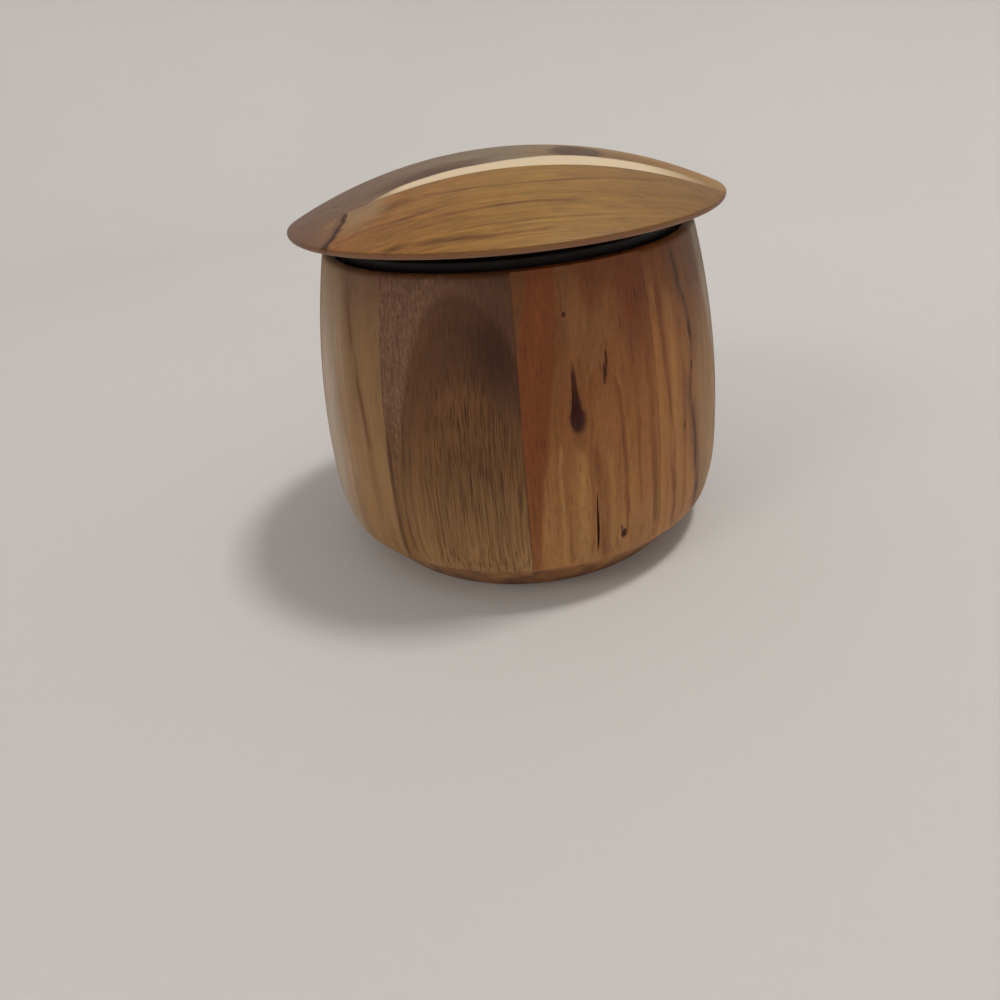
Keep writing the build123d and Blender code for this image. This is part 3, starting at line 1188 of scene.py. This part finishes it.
# %% Finish the lid's front board
golden = lid_wood("lid_board_front", seed=11.0)
golden.rings(heart_depth=40.0, heart_across=-92.0, wander=2.0)
golden.base([(-48, ORANGE), (4, HONEY), (56, GOLD)])
golden.streaks([
    ([(-39, -38.2), (-32, -38.8), (-24, -39.8), (-18, -39.6)], 0.6, CHESTNUT, 0.8),
    ([(-32, -49.2), (-24, -50.6), (-16, -52.2), (-8, -53.8)], 0.8, (0.096, 0.036, 0.007), 0.85),
    ([(-12, -53.0), (-4, -53.9), (6, -53.4)], 0.5, CHESTNUT, 0.6),
    ([(-36, -40.4), (-29, -41.5), (-18, -42.8), (-6, -43.5), (14, -43.3)], 0.55, CHESTNUT, 0.8),
    ([(-25, -45.0), (-12, -46.2), (-2, -47.2), (10, -46.8)], 0.35, CHESTNUT, 0.5),
    ([(-22, -31.0), (-8, -33.5), (4, -34.3), (16, -33.0), (28, -31.0), (36, -29.2)], 0.5, CHESTNUT, 0.55),
    ([(8, -40.6), (24, -39.5), (36, -38.0)], 0.35, CHESTNUT, 0.3),
    ([(-14, -49.4), (2, -50.2), (18, -49.2)], 0.35, CHESTNUT, 0.4),
])
stroke = golden.oval(-31.3, -30.0, 1.6, 5.5, softness=0.6, ragged=0.5, rag_size=(2.0, 8.0))
golden.knot(stroke, CHESTNUT, 0.7, depth=0.0)
golden.lines(1.3, 0.3)
golden.fibres(0.34, width=0.5, length=18.0)
left_half = golden.math("MULTIPLY_ADD", golden.share(golden.along, 20.0, -16.0), 0.6, 0.4)
golden.pores(0.42, coverage=0.65, length=13.0, width=0.45, where=left_half)
golden.tone(golden.grain(1.1, 2.6, 2.0, seed=22.0), 0.14)
print("The front board has its figure, in", len(golden.tree.nodes), "nodes")

# %% Cut off the front board's left end
boundary_line = [(-58, -51.0), (-40, -46.3), (-35, -43.3), (-31, -41.3), (-26, -40.6), (-20, -40.8)]
end_colours = [(-54, TAUPE), (-38, ROSE)]
# The crack is dark wood along the boundary; where it widens towards the lid's edge, its dark is a painted
# shadow in the dent.
crack_and_shadow_widths = [(-58, 2.4), (-42, 2.2), (-36, 1.5), (-30, 1.0), (-20, 0.7)]
past_boundary = golden.minus(golden.follow(golden.across, boundary_line), golden.along)
past_boundary = golden.waver(past_boundary, 1.2, 2.0, 2.5, 3.0, seed=15.0)
golden.shade(golden.share(past_boundary, -0.4, 0.6), golden.ramp(golden.along, end_colours))
pink_tan = golden.oval(-26.0, -37.0, 9.0, 6.5, softness=0.5, ragged=0.6, rag_size=(3.0, 8.0))
golden.shade(pink_tan, (0.245, 0.140, 0.062))
golden.tone(golden.grain(4.0, 9.0, 3.0, seed=16.0), 0.25)
golden.shade(golden.share(golden.apart(past_boundary, 0.8), 2.4, 0.2), UMBER, 0.65)
# The crack's width includes a painted shadow at its wide end, near the lid's edge.
crack_and_shadow_width = golden.follow(golden.across, crack_and_shadow_widths)
from_crack = golden.math("DIVIDE", golden.apart(past_boundary, 0.0), crack_and_shadow_width)
golden.knot(golden.share(from_crack, 0.95, 0.2), (0.045, 0.018, 0.010), 0.95, depth=0.15)
finish_lid_board("lid_board_front", golden)

# %% Finish the lid's middle board
grey_brown = lid_wood("lid_board_middle", seed=12.0)
grey_brown.rings(heart_depth=40.0, heart_across=60.0, wander=2.5)
grey_tan = (0.18, 0.12, 0.07)
grey_brown.base([(-56, TAUPE), (0, grey_tan), (40, HONEY)])
grey_brown.lines(2.4, 0.3)
grey_brown.fibres(0.25)
grey_brown.pores(0.35, coverage=0.45, length=10.0)
left_stain = grey_brown.oval(-16.5, -19.0, 5.0, 12.0, softness=0.6, ragged=0.7, rag_size=(4.0, 14.0))
grey_brown.shade(left_stain, UMBER, 0.8)
stain_tail = grey_brown.oval(-12.0, 31.0, 4.5, 14.0, softness=0.7, ragged=0.5, rag_size=(4.0, 10.0))
grey_brown.shade(stain_tail, CHESTNUT, 0.45)
right_stain = grey_brown.oval(-9.0, 19.0, 9.0, 6.6, softness=0.25, ragged=0.45, rag_size=(4.0, 7.0))
grey_brown.shade(right_stain, UMBER, 0.9)
print("The middle board has its figure, in", len(grey_brown.tree.nodes), "nodes")

# %% Add the cream sapwood
sap_widths = [(-35, -0.8), (-30, 2.4), (-24, 4.4), (-10, 5.6), (4, 6.9), (14, 8.3), (26, 8.1), (36, 6.9)]
sap_widths += [(46, 4.4), (54, -0.8)]
sap_width = grey_brown.follow(grey_brown.along, sap_widths)
sap_depth = grey_brown.minus(sap_width, grey_brown.minus(grey_brown.across, lid_front_joint))
sap_depth = grey_brown.waver(sap_depth, 0.7, 5.0, 12.0, 2.0, seed=17.0)
sap_tone = grey_brown.ramp(grey_brown.along, [(-34, FAWN), (-26, CREAM), (34, CREAM), (50, FAWN)])
grey_brown.shade(grey_brown.share(sap_depth, -0.6, 0.6), sap_tone)
finish_lid_board("lid_board_middle", grey_brown)

# %% Finish the lid's back board
back_gold = lid_wood("lid_board_back", seed=13.0)
back_gold.rings(heart_depth=40.0, heart_across=90.0, wander=2.5)
back_stops = [(60, OCHRE), (74, HONEY), (80, CHESTNUT), (84, OCHRE), (100, HONEY)]
back_gold.colour = back_gold.ramp(back_gold.ring, back_stops)
back_gold.lines(1.8, 0.4)
back_gold.fibres(0.3)
back_gold.pores(0.5, coverage=0.5, length=14.0, width=0.45)
finish_lid_board("lid_board_back", back_gold)

# %% [markdown]
# ## The plug's and the base's finishes
#
# These boards show only when the lid is off or the jar is turned over. They are the same acacia, with a
# duller, drier oil, because nobody polishes them.

# %% Finish the plug and the base
# Each board: its seed, the heart line's depth and place across, and four bands of colour outwards.
PLUG_WOODS = {
    "plug_board_left": (14.0, 130.0, 20.0, [GOLD, OCHRE, CHESTNUT, OCHRE]),
    "plug_board_middle": (15.0, 40.0, 60.0, [ORANGE, AMBER, ORANGE, CHESTNUT]),
    "plug_board_right": (16.0, 130.0, -20.0, [STRAW, CHESTNUT, GOLD, STRAW]),
}
BASE_WOODS = {
    "base_board_left": (17.0, 45.0, 10.0, [GOLD, STRAW, GOLD, CHESTNUT]),
    "base_board_middle": (18.0, 60.0, -40.0, [RUSSET, MAHOGANY, ORANGE, MAHOGANY]),
    "base_board_right": (19.0, 50.0, -12.0, [TAUPE, UMBER, CHESTNUT, TAUPE]),
}
FRONT_TO_BACK = -90.0
DRY_ROUGHNESS = 0.55

for woods, swung, level in (
    (PLUG_WOODS, FRONT_TO_BACK - LID_TURN, plug_bottom),
    (BASE_WOODS, FRONT_TO_BACK, base_top),
):
    for name, (seed, heart_depth, heart_across, colours) in woods.items():
        wood = Acacia(name + "_wood", swung, seed, lying=True)
        draw_bands(wood, heart_depth, heart_across, level, colours, lead=14, width=8)
        wood.pores(0.5, coverage=0.5, length=14.0, width=0.45)
        wood.oil(pieces[name], DRY_ROUGHNESS)

# %% [markdown]
# ## The seal's finish
#
# Silicone is black all through, with a soft, slightly dusty sheen. Its colour hardly varies, so the
# roughness carries the look: a cloudy mottle from handling, and under it a fine dusty grain that was on
# the mould's own face. An image of rubber would do too, but two sizes of noise are lighter and never
# repeat.

# %% Finish the seal
# How many clouds of each noise fit in a metre.
HANDLING_CLOUDS = (300, 300, 300)
MOULD_GRAIN = (2500, 2500, 2500)
MOULD_GRAIN_HEIGHT = 0.01
SEAL_BLACKS = [(0.3, (0.005, 0.004, 0.005)), (0.7, (0.009, 0.008, 0.009))]
SEAL_ROUGHNESS = 0.42
HANDLING_ROUGHNESS = 0.2
SEAL_SHINE = 0.35

silicone = Finish("silicone_black")
cloudy = silicone.noise(silicone.stretch(silicone.place, HANDLING_CLOUDS, (0, 0, 0)), 3.0)
fine_dust = silicone.noise(silicone.stretch(silicone.place, MOULD_GRAIN, (4, 4, 4)), 2.0)
silicone.feed(silicone.shader.inputs["Base Color"], silicone.ramp(cloudy, SEAL_BLACKS))
handled = silicone.math("MULTIPLY_ADD", cloudy, HANDLING_ROUGHNESS, SEAL_ROUGHNESS)
silicone.feed(silicone.shader.inputs["Roughness"], handled)
silicone.shader.inputs["Specular IOR Level"].default_value = SEAL_SHINE
silicone.bump(silicone.times(fine_dust, MOULD_GRAIN_HEIGHT))
silicone.coat(pieces["seal_ring"])

# %% [markdown]
# ## The studio
#
# A plain pale bowl stands in for a floor and walls: a flat floor that curves up all round, so that
# nothing shows a horizon from any side. The main light stands high on the right, so the jar's shadow
# lies short on its left, and a weaker one fills in from the front left. A sky of even light lifts the
# rest. The paper has two colours. The one that the camera and shiny things see is a mid grey, which
# keeps pale wood from being lost against it. The one that its bounced light takes is paler, as a light
# table's would be, so that the jar's underside is lit from below. A Light Path node picks between them.

# %% Build the studio
STUDIO_RADIUS = 900.0
STUDIO_CORNER = 300.0
STUDIO_HEIGHT = 600.0
STUDIO_CORNER_STEPS = 16
STUDIO_STEPS = 96
STUDIO_COLOUR = (0.535, 0.512, 0.490)
STUDIO_BOUNCE = (0.800, 0.785, 0.765)
PAPER_CLOUDS = (3, 3, 3)
PAPER_MOTTLE = 0.015

bowl_pen = Pen(0, 0)
bowl_pen.line(STUDIO_RADIUS - STUDIO_CORNER, 0)
bowl_pen.arc(STUDIO_RADIUS - STUDIO_CORNER, STUDIO_CORNER, 90, STUDIO_CORNER_STEPS)
bowl_pen.line(STUDIO_RADIUS, STUDIO_HEIGHT)
bowl = turn(bowl_pen.mesh, FULL_TURN, STUDIO_STEPS)
bmesh.ops.reverse_faces(bowl, faces=bowl.faces[:])
studio = smooth_object("studio_bowl", bowl)

paper = Finish("studio_paper")
paper_cloud = paper.noise(paper.stretch(paper.place, PAPER_CLOUDS, (0, 0, 0)), 2.0)
paper_low = tuple((1 - PAPER_MOTTLE) * part for part in STUDIO_COLOUR)
paper_high = tuple((1 + PAPER_MOTTLE) * part for part in STUDIO_COLOUR)
paper_seen = paper.ramp(paper_cloud, [(0.3, paper_low), (0.7, paper_high)])
rays = paper.node("ShaderNodeLightPath").outputs
seen = paper.math("MAXIMUM", rays["Is Camera Ray"], rays["Is Glossy Ray"])
seen = paper.math("MAXIMUM", seen, rays["Is Transmission Ray"])
paper.feed(paper.shader.inputs["Base Color"], paper.mix(seen, STUDIO_BOUNCE, paper_seen))
paper.shader.inputs["Roughness"].default_value = 0.9
paper.coat(studio)

# %% Light the studio
JAR_MIDDLE = 50.0
SKY_COLOUR = (1.0, 0.99, 0.975, 1.0)
SKY_STRENGTH = 0.455


def soft_light(name, place, size, power, colour):
    """A large square light, aimed at the jar."""
    data = bpy.data.lights.new(name, "AREA")
    data.shape = "SQUARE"
    data.size = size * MM
    data.energy = power
    data.color = colour
    lamp = bpy.data.objects.new(name, data)
    lamp.location = Vector(place) * MM
    towards_jar = Vector((0, 0, JAR_MIDDLE * MM)) - lamp.location
    lamp.rotation_euler = towards_jar.to_track_quat("-Z", "Y").to_euler()
    bpy.context.scene.collection.objects.link(lamp)
    print(f"{name} gives {power} W from {(lamp.location.length / MM):.0f} mm away")


soft_light("window_right", place=(600, 110, 1850), size=260, power=17.9, colour=(1.0, 0.985, 0.965))
soft_light("lamp_front_left", place=(-1120, -920, 1200), size=500, power=4.3, colour=(1.0, 0.98, 0.95))

world = bpy.data.worlds.new("soft_room")
world.use_nodes = True
sky = world.node_tree.nodes["Background"].inputs
sky["Color"].default_value = SKY_COLOUR
sky["Strength"].default_value = SKY_STRENGTH
bpy.context.scene.world = world

# %% [markdown]
# ## The camera
#
# The camera stands in front and looks down by about 31 degrees, close enough for the near side of the
# lid to look larger than the far side. It also leans a little to one side, which a hand-held camera
# does. A focal length of 720 pixels for an image 1000 pixels wide, on a sensor 36 mm wide, is a lens of
# about 26 mm.

# %% Set up the camera
IMAGE_WIDTH = 1000
FOCAL_PIXELS = 720.0
CAMERA_DISTANCE = 212.11
CAMERA_HEIGHT = 126.80
CAMERA_PITCH = 30.990
CAMERA_ROLL = -5.949
CAMERA_YAW = -2.539
SENSOR_WIDTH = 36.0

camera_data = bpy.data.cameras.new("camera")
camera_data.sensor_width = SENSOR_WIDTH
camera_data.lens = FOCAL_PIXELS / IMAGE_WIDTH * SENSOR_WIDTH
camera_data.clip_start = 0.01
camera_data.clip_end = 10.0
camera = bpy.data.objects.new("camera", camera_data)
stand_up = Matrix.Rotation(math.radians(90 - CAMERA_PITCH), 4, "X")
swing_round = Matrix.Rotation(math.radians(-CAMERA_YAW), 4, "Z")
lean_over = Matrix.Rotation(math.radians(CAMERA_ROLL), 4, "Z")
step_back = Matrix.Translation(Vector((0, -CAMERA_DISTANCE, CAMERA_HEIGHT)) * MM)
camera.matrix_world = step_back @ swing_round @ stand_up @ lean_over
bpy.context.scene.collection.objects.link(camera)
bpy.context.scene.camera = camera
bpy.context.scene.view_settings.view_transform = "Standard"
print(f"The lens is {camera_data.lens:.2f} mm")
